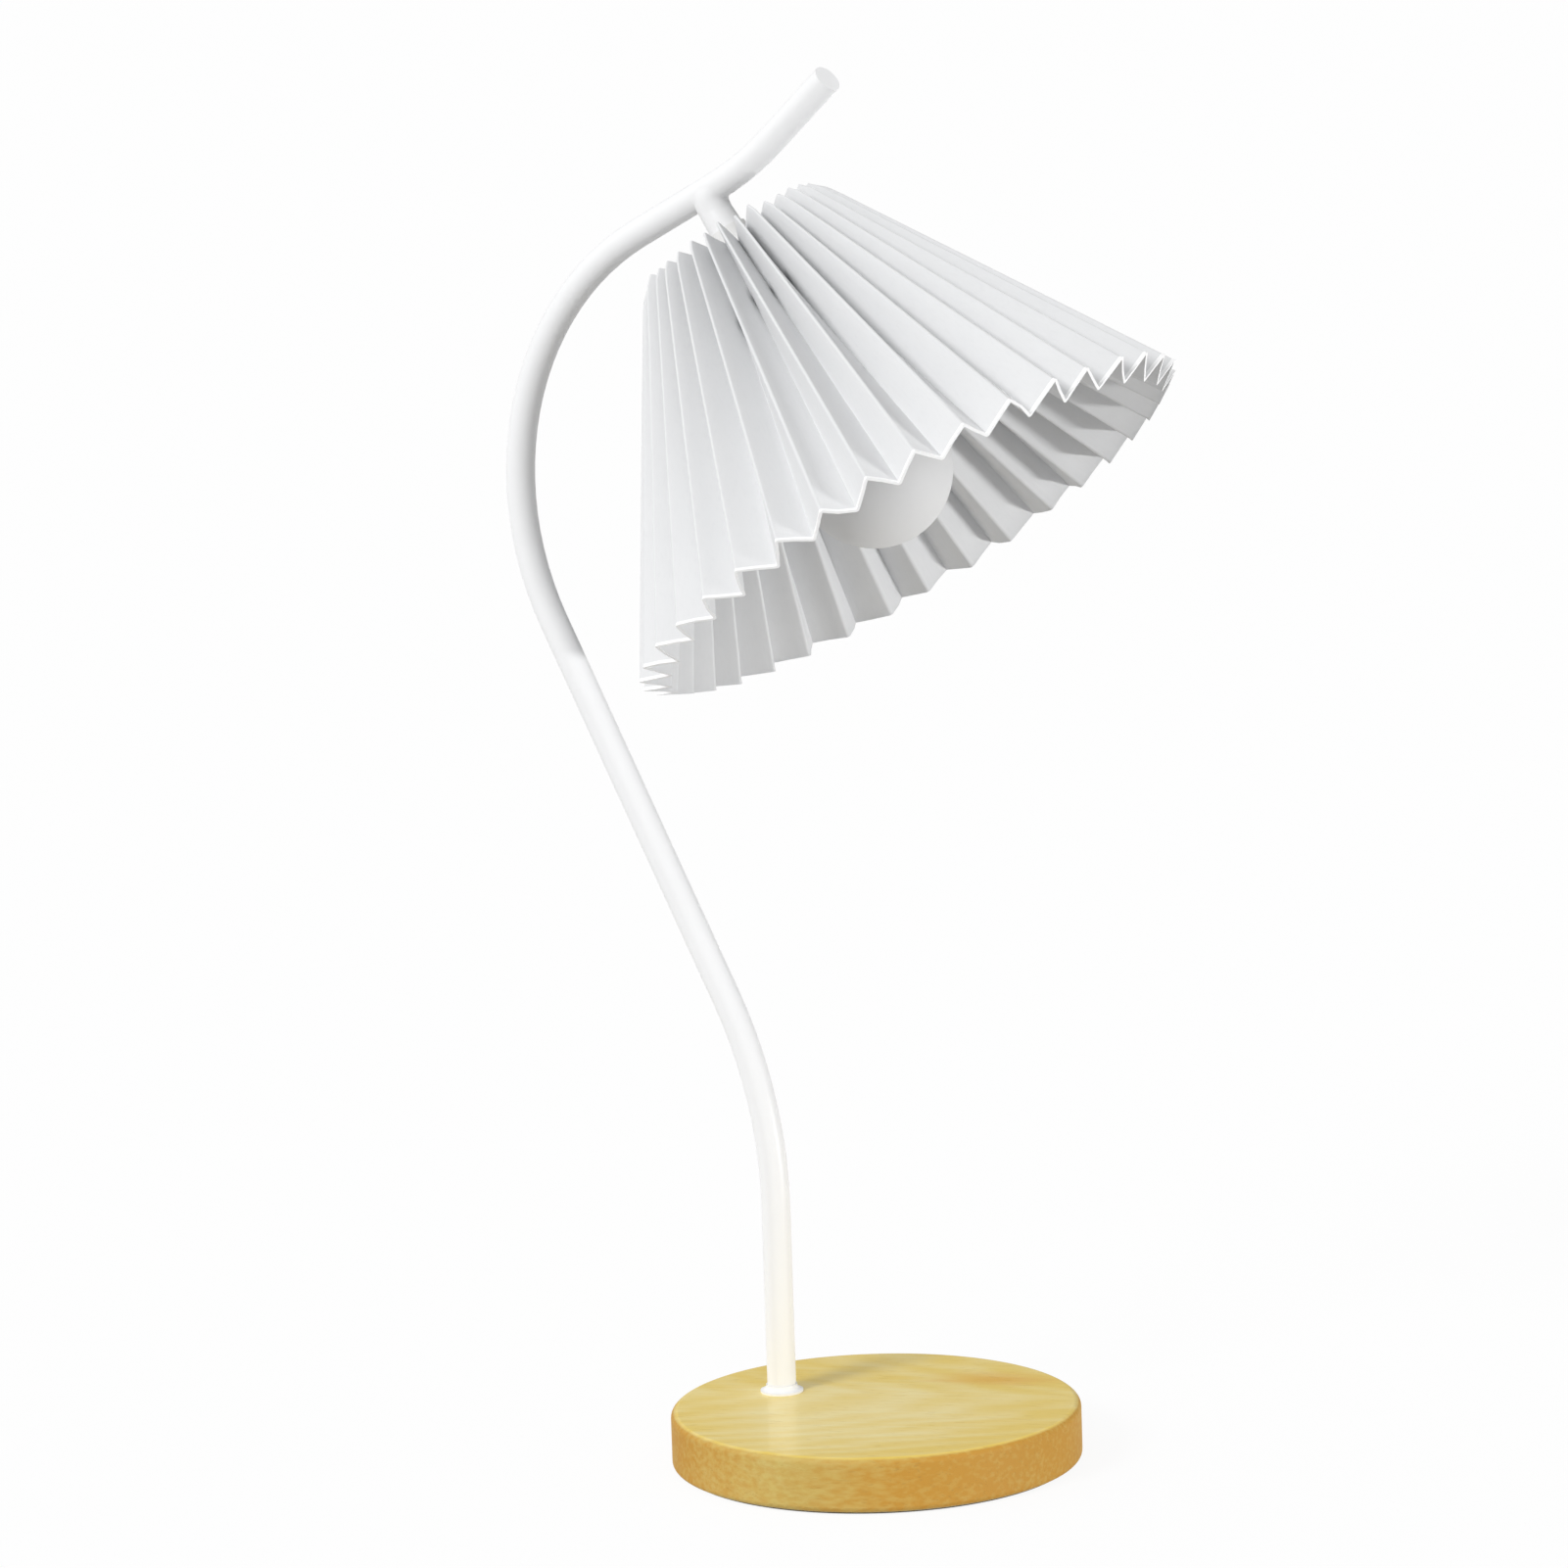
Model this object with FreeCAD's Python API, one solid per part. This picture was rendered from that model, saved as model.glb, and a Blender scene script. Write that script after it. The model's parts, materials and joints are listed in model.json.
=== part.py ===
"""Pleated table lamp: a round wooden base, a bowed tube stem and a pleated cone shade on a short branch.

Frame: origin at the middle of the base on the table, +Z up, +X towards the shade.
The stem is bent in the XZ plane. Lengths are in millimetres, angles in degrees.
"""
import FreeCAD
import Part
import math
import os

from FreeCAD import Placement, Rotation, Vector

# Wooden base
base_diameter = 150.0
base_height = 21.0
base_top_round = 2.5
base_bottom_round = 2.0
base_wall = 9.0
pad_thickness = 2.0
pad_recess = 1.2
pad_rim = 3.0

# Steel plate in the base
ballast_thickness = 5.0
ballast_gap = 2.0
ballast_slot_gap = 4.0
ballast_floor_gap = 1.0
ballast_screw_inset = 14.0
ballast_screw_count = 3
ballast_screw_diameter = 4.0
ballast_screw_cover = 3.0
ballast_screw_head_diameter = 7.4
ballast_screw_head_height = 2.4

# Stem: tube and bending chart, from the foot to the tip
tube_diameter = 10.6
tube_wall = 1.2
foot_inset = 33.5
foot_rise = 70.0
lower_bend_radius = 163.0
lower_bend_angle = 28.0
back_run = 152.3
bow_radius = 108.0
bow_angle = 89.6
branch_run = 40.0
tip_bend_radius = 122.0
tip_bend_angle = 14.3
tip_run = 33.0
tip_plug_head = 1.0
tip_plug_depth = 6.0

# Stem foot
collar_lip = 0.7
collar_hollow = 2.2
collar_edge = 0.3
washer_rim = 4.0
washer_thickness = 1.2
nut_rim = 2.2
nut_height = 3.5
nut_sides = 6

# Branch under the stem
branch_station = 34.0
branch_wall = 1.8
branch_length = 16.0
branch_saddle_lip = 0.5
shade_tilt = 36.0
nipple_diameter = 9.0
nipple_wall = 1.0
nipple_grip = 5.0

# Lampholder, down its axis
boss_rim = 2.6
boss_height = 6.0
cap_headroom = 2.3
cap_wall = 2.0
cap_step = 0.8
insert_thickness = 6.0
spigot_wall = 1.6
shell_thickness = 0.5
shell_short = 1.5
shell_shelf = 1.0
skirt_gap = 3.6
skirt_wall = 2.2
skirt_depth = 9.0
flange_rim = 2.7
flange_drop = 10.0
flange_thickness = 2.0
contact_thickness = 1.0
contact_diameter = 8.0
lock_screw_diameter = 3.0
lock_screw_sink = 0.4

# Bulb
bulb_diameter = 56.6
bulb_throat = 39.3
bulb_wall = 1.2
bulb_cap_diameter = 26.0
bulb_cap_height = 22.0
bulb_cap_wall = 0.6
bulb_insulator_height = 3.0
bulb_tip_diameter = 9.0
bulb_tip_height = 1.4
bulb_neck_step = 1.5
bulb_neck_reach = 1.5
bulb_board_thickness = 1.6

# Pleated shade
shade_drop = 19.5
shade_top_diameter = 74.6
shade_bottom_diameter = 222.6
fold_length = 144.0
pleat_count = 36
bottom_fold_depth = 10.5
pleat_phase = 8.5
sheet_thickness = 0.4

# Wire frame in the top of the shade, and the ring that clamps it
wire_diameter = 3.0
wire_ring_drop = 5.0
arm_count = 3
fitter_rim = 5.5
fitter_thickness = 1.5
clamp_ring_rim = 7.0
clamp_ring_height = 8.0
clamp_ring_round = 1.5
clamp_grip_count = 18
clamp_grip_radius = 2.5
clamp_grip_depth = 0.9

# Leads and terminals
lead_diameter = 3.0
lead_bend_radius = 4.5
lead_branch_bend = 5.0
lead_floor_gap = 1.2
lead_top_gap = 1.1
terminal_length = 12.0
terminal_width = 17.0
terminal_gap = 3.0
terminal_floor_gap = 0.3
terminal_mouth_depth = 4.0
terminal_screw_diameter = 3.2
terminal_screw_depth = 2.6
terminal_screw_pitch = 8.0
bush_bore = 5.4
bush_wall = 1.2
bush_flange = 1.0
bush_flange_thickness = 1.4
bush_proud = 0.6
bush_edge = 0.4
bush_sleeve_reach = 2.5

# Clearances
slip_fit = 0.2
turning_gap = 0.3
seat_gap = 0.1

# Places that follow from the sizes above
tube_radius = tube_diameter / 2
bore_radius = tube_radius - tube_wall
base_radius = base_diameter / 2
cavity_radius = base_radius - base_wall
lead_stack = lead_floor_gap + lead_diameter + lead_top_gap + nut_height + washer_thickness
ballast_stack = ballast_floor_gap + ballast_screw_head_height + ballast_thickness
cavity_top = pad_thickness + max(lead_stack, ballast_stack)
ballast_screw_end = base_height - ballast_screw_cover
ballast_radius = cavity_radius - ballast_gap
wood_bottom = pad_thickness - pad_recess
washer_bottom = cavity_top - washer_thickness
washer_radius = tube_radius + washer_rim
nut_bottom = washer_bottom - nut_height
foot_x = foot_inset - base_radius

X_AXIS = Vector(1, 0, 0)
Y_AXIS = Vector(0, 1, 0)
Z_AXIS = Vector(0, 0, 1)
ORIGIN = Vector(0, 0, 0)
FULL_TURN = 360.0
HALF_TURN = FULL_TURN / 2
QUARTER_TURN = FULL_TURN / 4
EIGHTH_TURN = FULL_TURN / 8


def outline(points):
    """Closed face in the XZ plane; a pair of points stands for an arc: its middle and its end."""
    edges = []
    here = points[0]
    for step in points[1:] + [points[0]]:
        if isinstance(step[0], tuple):
            middle, end = step
            edges.append(Part.Arc(*(Vector(r, 0, z) for r, z in (here, middle, end))).toShape())
        else:
            end = step
            edges.append(Part.makeLine(Vector(here[0], 0, here[1]), Vector(end[0], 0, end[1])))
        here = end
    return Part.Face(Part.Wire(edges))


def turned(points):
    """Solid turned about Z from half of its section."""
    return outline(points).revolve(ORIGIN, Z_AXIS, FULL_TURN)


def on_circle(centre, radius, angle):
    """Point of a circle in the XZ plane, with the angle measured from X towards Z."""
    turn = math.radians(angle)
    return (centre[0] + radius * math.cos(turn), centre[1] + radius * math.sin(turn))


def round_corner(corner, radius, inward_x, inward_z, turn_first):
    """The three points of a rounded right-angled corner, ready for an outline."""
    centre = (corner[0] + inward_x * radius, corner[1] + inward_z * radius)
    side = (corner[0], centre[1])
    cap = (centre[0], corner[1])
    reach = radius * math.cos(math.radians(EIGHTH_TURN))
    middle = (centre[0] - inward_x * reach, centre[1] - inward_z * reach)
    return [side, (middle, cap)] if turn_first == "side" else [cap, (middle, side)]


def rod(radius, low, high):
    """Cylinder on Z between two heights."""
    return Part.makeCylinder(radius, high - low, Vector(0, 0, low))


def pipe(outer, inner, low, high):
    """Tube on Z between two heights."""
    return rod(outer, low, high).cut(rod(inner, low, high))


def polar(radius, angle, height=0.0):
    """Point at a radius and an angle about Z."""
    turn = math.radians(angle)
    return Vector(radius * math.cos(turn), radius * math.sin(turn), height)


def ring_of(piece, radius, count):
    """Copies of a piece, evenly round Z."""
    copies = []
    for number in range(count):
        copy = piece.copy()
        copy.translate(polar(radius, FULL_TURN * number / count))
        copies.append(copy)
    return copies


def heading_vector(heading):
    """Direction in the XZ plane, measured from straight up towards +X."""
    turn = math.radians(heading)
    return Vector(math.sin(turn), 0, math.cos(turn))


def follow(start, heading, steps, outer, inner=0.0):
    """Bent bar or tube: each step is a straight run, or a bend with its radius and its turn."""
    pieces = []
    for step in steps:
        ahead = heading_vector(heading)
        section = Part.Face(Part.Wire(Part.makeCircle(outer, start, ahead)))
        if inner:
            section = section.cut(Part.Face(Part.Wire(Part.makeCircle(inner, start, ahead))))
        if len(step) == 1:
            travel = ahead * step[0]
            pieces.append(section.extrude(travel))
            start = start + travel
            continue
        radius, turn = step
        side = math.copysign(1.0, turn)
        centre = start + heading_vector(heading + QUARTER_TURN * side) * radius
        pieces.append(section.revolve(centre, Y_AXIS * side, abs(turn)))
        heading = heading + turn
        start = centre - heading_vector(heading + QUARTER_TURN * side) * radius
    bar = pieces[0].multiFuse(pieces[1:]).removeSplitter() if len(pieces) > 1 else pieces[0]
    return bar.Solids[0], start, heading


# The stem's bending chart, and the point where the branch meets it
to_branch = [
    (foot_rise,),
    (lower_bend_radius, -lower_bend_angle),
    (back_run,),
    (bow_radius, bow_angle),
]
past_branch = [
    (branch_run,),
    (tip_bend_radius, -tip_bend_angle),
    (tip_run,),
]
foot = Vector(foot_x, 0, base_height)
bow_end, bow_heading = follow(foot, 0.0, to_branch, tube_radius)[1:]
branch_point = bow_end + heading_vector(bow_heading) * branch_station
branch_heading = HALF_TURN - shade_tilt
stem_bottom = Vector(foot_x, 0, nut_bottom)
stem_chart = [(base_height - nut_bottom + foot_rise,)] + to_branch[1:] + past_branch

# Shade axis: local Z runs from the branch point down the axis, and the holder, bulb and shade are made on it
hang = Placement(branch_point, Rotation(Y_AXIS, branch_heading))


def hung(shape):
    """Puts a piece made on the Z axis onto the shade's axis."""
    placed = shape.copy()
    placed.Placement = hang.multiply(placed.Placement)
    return placed


# Radii about the shade's axis
nipple_radius = nipple_diameter / 2
branch_radius = nipple_radius + seat_gap + branch_wall
boss_radius = nipple_radius + slip_fit + boss_rim
bulb_cap_radius = bulb_cap_diameter / 2
neck_radius = bulb_cap_radius + bulb_neck_step
globe_radius = bulb_diameter / 2
shell_inside = bulb_cap_radius + turning_gap
shell_outside = shell_inside + shell_thickness
socket_radius = shell_outside + slip_fit
skirt_inside = socket_radius + skirt_gap
body_radius = skirt_inside + skirt_wall
flange_radius = body_radius + flange_rim
cap_radius = body_radius - cap_step
cap_inside = cap_radius - cap_wall
spigot_radius = cap_inside - slip_fit
insert_radius = spigot_radius - spigot_wall - slip_fit
fitter_inside = body_radius + turning_gap
fitter_outside = fitter_inside + fitter_rim
wire_radius = wire_diameter / 2

# Stations down the shade's axis
cap_top = branch_length
boss_bottom = cap_top + boss_height
cap_shoulder = boss_bottom + cap_radius - boss_radius
insert_top = cap_shoulder + cap_headroom
cap_bottom = insert_top + insert_thickness
flange_top = cap_bottom + flange_drop
flange_bottom = flange_top + flange_thickness
fitter_top = flange_bottom + seat_gap
fitter_bottom = fitter_top + fitter_thickness
clamp_top = fitter_bottom + seat_gap
bulb_top = cap_bottom + contact_thickness + seat_gap
bulb_shell_top = bulb_top + bulb_tip_height + bulb_insulator_height
bulb_shell_bottom = bulb_shell_top + bulb_cap_height
shell_bottom = bulb_shell_bottom - shell_short
skirt_top = shell_bottom + shell_shelf
body_bottom = skirt_top + skirt_depth
neck_end = body_bottom + bulb_neck_reach
globe_centre = neck_end + bulb_throat
bulb_bottom = globe_centre + globe_radius


def base_disc():
    """Turned wooden disc with a hollow below for the plate and the pad."""
    rim = base_radius
    pad_seat = base_radius - pad_rim + slip_fit
    disc = turned(
        [(0, cavity_top), (cavity_radius, cavity_top), (cavity_radius, pad_thickness)]
        + [(pad_seat, pad_thickness), (pad_seat, wood_bottom)]
        + round_corner((rim, wood_bottom), base_bottom_round, -1, 1, "cap")
        + round_corner((rim, base_height), base_top_round, -1, -1, "side")
        + [(0, base_height)]
    )
    stem_hole = rod(tube_radius + slip_fit, 0, base_height)
    stem_hole.translate(Vector(foot_x, 0, 0))
    outlet = bush_envelope(slip_fit)
    pilot = rod(ballast_screw_diameter / 2 + slip_fit, 0, ballast_screw_end + seat_gap)
    return disc.cut([stem_hole, outlet] + ballast_pattern(pilot))


def ballast_pattern(piece):
    """Copies of a piece at the ballast plate's screws."""
    return ring_of(piece, ballast_radius - ballast_screw_inset, ballast_screw_count)


def base_pad():
    """Soft round pad that the lamp rests on."""
    return rod(base_radius - pad_rim, 0, pad_thickness)


def ballast_plate():
    """Steel disc with a slot for the stem's nut, the terminals and the leads."""
    low = cavity_top - ballast_thickness
    half_slot = max(washer_radius, terminal_width / 2) + ballast_slot_gap
    slot_end = terminal_start + terminal_length
    slot_corner = Vector(-ballast_radius, -half_slot, low)
    slot = Part.makeBox(ballast_radius + slot_end, 2 * half_slot, ballast_thickness, slot_corner)
    slot_nose = rod(half_slot, low, cavity_top)
    slot_nose.translate(Vector(slot_end, 0, 0))
    screw_hole = rod(ballast_screw_diameter / 2 + slip_fit, low, cavity_top)
    return rod(ballast_radius, low, cavity_top).cut([slot, slot_nose] + ballast_pattern(screw_hole))


def ballast_screws():
    """Pointed wood screws through the plate, with low cone heads."""
    seat = cavity_top - ballast_thickness
    head_low = seat - ballast_screw_head_height
    shank_radius = ballast_screw_diameter / 2
    screw = turned([
        (0, head_low),
        (shank_radius, head_low),
        (ballast_screw_head_diameter / 2, seat),
        (shank_radius, seat),
        (shank_radius, ballast_screw_end - shank_radius),
        (0, ballast_screw_end),
    ])
    return Part.makeCompound(ballast_pattern(screw))


def stem_envelope():
    """The stem as a filled bar, to cut what sits against it."""
    return follow(stem_bottom, 0.0, stem_chart, tube_radius)[0]


def stem_tube():
    """Bent steel tube with a side hole where the branch is welded on."""
    tube = follow(stem_bottom, 0.0, stem_chart, tube_radius, bore_radius)[0]
    return tube.cut(hung(rod(nipple_radius - nipple_wall, 0, branch_length)))


def tip_plug():
    """Flat plug in the open end of the tip."""
    end, heading = follow(stem_bottom, 0.0, stem_chart, tube_radius)[1:]
    head = follow(end, heading, [(tip_plug_head,)], tube_radius)[0]
    stalk = follow(end, heading + HALF_TURN, [(tip_plug_depth,)], bore_radius - slip_fit)[0]
    return head.fuse(stalk).removeSplitter()


def stem_collar():
    """Thin flange on the wood round the stem's foot, drawn up to the tube in a hollow curve."""
    inside = tube_radius + seat_gap
    edge_radius = inside + collar_edge
    foot_radius = edge_radius + collar_hollow
    lip_top = base_height + collar_lip
    top = lip_top + collar_hollow
    hollow = on_circle((foot_radius, top), collar_hollow, HALF_TURN + EIGHTH_TURN)
    collar = turned([
        (inside, base_height),
        (foot_radius, base_height),
        (foot_radius, lip_top),
        (hollow, (edge_radius, top)),
        (inside, top),
    ])
    collar.translate(Vector(foot_x, 0, 0))
    return collar


def stem_washer():
    """Plain washer between the wood and the nut."""
    washer = pipe(washer_radius, tube_radius + seat_gap, washer_bottom, cavity_top)
    washer.translate(Vector(foot_x, 0, 0))
    return washer


def stem_nut():
    """Thin hexagon nut on the threaded foot of the stem."""
    corner_radius = (tube_radius + nut_rim) / math.cos(math.radians(HALF_TURN / nut_sides))
    side_turn = FULL_TURN / nut_sides
    corners = [polar(corner_radius, side_turn * number, nut_bottom) for number in range(nut_sides)]
    nut = Part.Face(Part.makePolygon(corners + corners[:1])).extrude(Z_AXIS * nut_height)
    nut = nut.cut(rod(tube_radius + seat_gap, nut_bottom, washer_bottom))
    nut.translate(Vector(foot_x, 0, 0))
    return nut


def branch_stub():
    """Short tapered tube, saddle-cut where it is welded under the stem."""
    bore = nipple_radius - nipple_wall
    seat = nipple_radius + seat_gap
    grip_top = branch_length - nipple_grip
    saddle_top = tube_radius / 2
    stub = turned([
        (bore, saddle_top),
        (tube_radius + branch_saddle_lip, saddle_top),
        (branch_radius, branch_length),
        (seat, branch_length),
        (seat, grip_top),
        (bore, grip_top),
    ])
    saddle = hung(stub).cut(stem_envelope())
    return max(saddle.Solids, key=lambda solid: solid.Volume)


def holder_nipple():
    """Threaded pipe that joins the lampholder's cap to the branch."""
    inside = nipple_radius - nipple_wall
    return hung(pipe(nipple_radius, inside, branch_length - nipple_grip + seat_gap, boss_bottom))


def holder_cap():
    """Domed upper moulding of the lampholder, with a boss for the nipple."""
    dome_centre = (boss_radius, cap_shoulder)
    dome = on_circle(dome_centre, cap_radius - boss_radius, -EIGHTH_TURN)
    inner_dome = on_circle(dome_centre, cap_inside - boss_radius, -EIGHTH_TURN)
    inner_top = cap_shoulder - (cap_inside - boss_radius)
    cap = turned([
        (nipple_radius + seat_gap, cap_top),
        (boss_radius, cap_top),
        (boss_radius, boss_bottom),
        (dome, (cap_radius, cap_shoulder)),
        (cap_radius, cap_bottom),
        (cap_inside, cap_bottom),
        (cap_inside, cap_shoulder),
        (inner_dome, (boss_radius, inner_top)),
        (nipple_radius + seat_gap, inner_top),
    ])
    return hung(cap.cut(lock_screw_bar(0, 2 * boss_radius, slip_fit)))


def lock_screw_bar(start, end, gap=0.0):
    """Bar across the middle of the boss, from one radius to another."""
    centre = Vector(start, 0, cap_top + boss_height / 2)
    return Part.makeCylinder(lock_screw_diameter / 2 + gap, end - start, centre, X_AXIS)


def holder_lock_screw():
    """Grub screw, sunk in the boss, that stops the cap turning on the nipple."""
    return hung(lock_screw_bar(nipple_radius + seat_gap, boss_radius - lock_screw_sink))


def holder_body():
    """Lower moulding: a spigot in the cap, a flange for the shade and a skirt round the bulb's neck."""
    spigot_inside = insert_radius + slip_fit
    return hung(turned([
        (spigot_inside, insert_top),
        (spigot_radius, insert_top),
        (spigot_radius, cap_bottom),
        (body_radius, cap_bottom),
        (body_radius, flange_top),
        (flange_radius, flange_top),
        (flange_radius, flange_bottom),
        (body_radius, flange_bottom),
        (body_radius, body_bottom),
        (skirt_inside, body_bottom),
        (skirt_inside, skirt_top),
        (socket_radius, skirt_top),
        (socket_radius, cap_bottom),
        (spigot_inside, cap_bottom),
    ]))


def holder_insert():
    """Round core that carries the contacts, with a hole for the lead."""
    core = rod(insert_radius, insert_top, cap_bottom)
    return hung(core.cut(rod(lead_diameter / 2 + slip_fit, insert_top, cap_bottom)))


def screw_shell():
    """Threaded sleeve that grips the bulb's cap."""
    return hung(pipe(shell_outside, shell_inside, cap_bottom, shell_bottom))


def centre_contact():
    """Round contact under the core, against the bulb's tip."""
    return hung(rod(contact_diameter / 2, cap_bottom, cap_bottom + contact_thickness))


def globe_tangent():
    """Angle and point where a straight cone from the bulb's neck touches its globe."""
    reach = math.hypot(neck_radius, bulb_throat)
    slope = math.degrees(math.atan2(-bulb_throat, neck_radius))
    angle = slope + math.degrees(math.acos(globe_radius / reach))
    return angle, on_circle((0, globe_centre), globe_radius, angle)


def bulb_globe():
    """Hollow round diffuser of the bulb."""
    angle, rim = globe_tangent()
    middle = (angle + QUARTER_TURN) / 2
    inner_radius = globe_radius - bulb_wall
    inner_rim = on_circle((0, globe_centre), inner_radius, angle)
    return hung(turned([
        rim,
        (on_circle((0, globe_centre), globe_radius, middle), (0, bulb_bottom)),
        (0, bulb_bottom - bulb_wall),
        (on_circle((0, globe_centre), inner_radius, middle), inner_rim),
    ]))


def bulb_housing():
    """Conical housing on a spigot in the bulb's cap, open at the wide end for the board."""
    rim = globe_tangent()[1]
    inner_rim = rim[0] - bulb_wall
    board_seat = rim[1] - bulb_board_thickness - bulb_wall
    spigot = bulb_cap_radius - bulb_cap_wall - slip_fit
    return hung(turned([
        (0, bulb_shell_top),
        (spigot, bulb_shell_top),
        (spigot, bulb_shell_bottom),
        (neck_radius, bulb_shell_bottom),
        (neck_radius, neck_end),
        rim,
        (inner_rim - bulb_wall, rim[1] - bulb_wall),
        (inner_rim - bulb_wall, board_seat),
        (0, board_seat),
    ]))


def bulb_board():
    """Round board with the light sources, on the housing's floor."""
    rim = globe_tangent()[1]
    board_seat = rim[1] - bulb_board_thickness - bulb_wall
    radius = rim[0] - 2 * bulb_wall - slip_fit
    return hung(rod(radius, board_seat, board_seat + bulb_board_thickness))


def bulb_cap():
    """Screw cap of the bulb, a thin sleeve."""
    return hung(pipe(bulb_cap_radius, bulb_cap_radius - bulb_cap_wall, bulb_shell_top, bulb_shell_bottom))


def bulb_insulator():
    """Tapered insulator between the cap and the tip."""
    tip_radius = bulb_tip_diameter / 2
    low = bulb_top + bulb_tip_height
    return hung(Part.makeCone(tip_radius, bulb_cap_radius, bulb_insulator_height, Vector(0, 0, low)))


def bulb_contact():
    """Tip contact of the bulb."""
    return hung(rod(bulb_tip_diameter / 2 - slip_fit, bulb_top, bulb_top + bulb_tip_height))


# The shade is one straight strip in equal panels, so the fold depth at each end follows from the pitch there
half_pitch = FULL_TURN / pleat_count / 2
pitch_spread = 1 - math.cos(math.radians(half_pitch))
top_radius = shade_top_diameter / 2
bottom_radius = shade_bottom_diameter / 2
cone_sine = (bottom_radius - top_radius) / fold_length
cone_cosine = math.sqrt(1 - cone_sine ** 2)
shade_bottom = shade_drop + fold_length * cone_cosine
bottom_lean = bottom_radius * cone_cosine * pitch_spread
panel_width = math.sqrt(
    (bottom_fold_depth - bottom_lean) ** 2 - bottom_lean ** 2 + 2 * bottom_radius ** 2 * pitch_spread)


def fold_depth(radius):
    """Depth, square to the cone, that keeps a panel at its full width between ridge and valley."""
    lean = radius * cone_cosine * pitch_spread
    return lean + math.sqrt(lean ** 2 + panel_width ** 2 - 2 * radius ** 2 * pitch_spread)


def fold_points(radius, station, side):
    """Ridge and valley corners of one end of the strip, on its outer (1) or inner (-1) face."""
    depth = fold_depth(radius)
    open_sine = math.radians(half_pitch) * (radius - depth * cone_cosine / 2) / panel_width
    face = side * sheet_thickness / 2 / open_sine
    points = []
    for number in range(2 * pleat_count):
        inward = depth * (number % 2) - face
        place = polar(radius - inward * cone_cosine, pleat_phase + half_pitch * number)
        points.append(place + Z_AXIS * (station + inward * cone_sine))
    return points


def ruled(first_start, first_end, second_start, second_end):
    """Face of straight lines between two edges."""
    return Part.makeRuledSurface(
        Part.makeLine(first_start, first_end), Part.makeLine(second_start, second_end))


def shade_pleats():
    """Pleated cone: panels between ridge and valley folds, with their ends cut square to the folds."""
    outer_top = fold_points(top_radius, shade_drop, 1)
    inner_top = fold_points(top_radius, shade_drop, -1)
    outer_low = fold_points(bottom_radius, shade_bottom, 1)
    inner_low = fold_points(bottom_radius, shade_bottom, -1)
    ends = [outer_top, outer_low, inner_low, inner_top]
    faces = []
    for number in range(2 * pleat_count):
        after = (number + 1) % (2 * pleat_count)
        for near, far in zip(ends, ends[1:] + ends[:1]):
            faces.append(ruled(near[number], far[number], near[after], far[after]))
    shell = Part.makeShell(faces)
    shell.sewShape()
    sheet = Part.Solid(shell.Shells[0])
    if sheet.Volume < 0:
        sheet.reverse()
    return hung(sheet)


def valley_line():
    """Inner edge of the valley folds: its top station, its radius there and its slope."""
    top = fold_points(top_radius, shade_drop, -1)[1]
    low = fold_points(bottom_radius, shade_bottom, -1)[1]
    top_inside = math.hypot(top.x, top.y)
    return top.z, top_inside, (math.hypot(low.x, low.y) - top_inside) / (low.z - top.z)


def shade_frame():
    """Wire ring under the pleats' top edge, with arms down to the fitter ring on the lampholder."""
    arm_foot = max(flange_radius + turning_gap + wire_radius, fitter_outside - wire_radius)
    room = (wire_radius + turning_gap) / cone_cosine
    valley_top, valley_inside, slope = valley_line()
    reach = max(valley_inside + slope * wire_ring_drop, arm_foot + room)
    ring_radius = reach - room
    ring_station = valley_top + (reach - valley_inside) / slope
    ring = Part.makeTorus(ring_radius, wire_radius, Vector(0, 0, ring_station))
    fitter = pipe(fitter_outside, fitter_inside, fitter_top, fitter_bottom)
    arms = []
    for number in range(arm_count):
        angle = FULL_TURN * number / arm_count
        top = polar(ring_radius, angle, ring_station)
        run = polar(arm_foot, angle, fitter_bottom) - top
        arms.append(Part.makeCylinder(wire_radius, run.Length, top, run))
    floor = rod(fitter_outside + wire_diameter, fitter_bottom, fitter_bottom + wire_diameter)
    return hung(ring.fuse(arms).cut(floor).fuse(fitter).removeSplitter())


def shade_ring():
    """Clamp ring with finger grips, which screws up the lampholder's skirt against the fitter ring."""
    outside = fitter_inside + clamp_ring_rim
    low = clamp_top + clamp_ring_height
    ring = turned(
        [(fitter_inside, low), (fitter_inside, clamp_top)]
        + round_corner((outside, clamp_top), clamp_ring_round, -1, 1, "cap")
        + round_corner((outside, low), clamp_ring_round, -1, -1, "side")
    )
    grip = rod(clamp_grip_radius, clamp_top, low)
    grip_circle = outside + clamp_grip_radius - clamp_grip_depth
    return hung(ring.cut(ring_of(grip, grip_circle, clamp_grip_count)))


# The inner lead runs from the terminals up through the stem and down the branch
lead_radius = lead_diameter / 2
lead_height = pad_thickness + lead_floor_gap + lead_radius
terminal_start = foot_x + washer_radius + terminal_gap
terminal_bottom = pad_thickness + terminal_floor_gap
bush_radius = bush_bore / 2 + bush_wall
bush_height = wood_bottom + base_bottom_round + bush_edge + slip_fit + bush_flange + bush_radius
bush_mouth = Vector(-base_radius - bush_proud, 0, bush_height)


def stem_lead():
    """Inner lead, along the middle of the tube and round into the branch."""
    turn = branch_heading - bow_heading
    corner = lead_branch_bend * math.tan(math.radians(turn) / 2)
    start = Vector(terminal_start + terminal_mouth_depth - seat_gap, 0, lead_height)
    first_run = start.x - foot_x - lead_bend_radius
    rise = base_height + foot_rise - lead_height - lead_bend_radius
    chart = [(first_run,), (lead_bend_radius, QUARTER_TURN), (rise,)] + to_branch[1:]
    chart += [(branch_station - corner,), (lead_branch_bend, turn), (cap_bottom - corner,)]
    return follow(start, -QUARTER_TURN, chart, lead_radius)[0]


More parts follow.
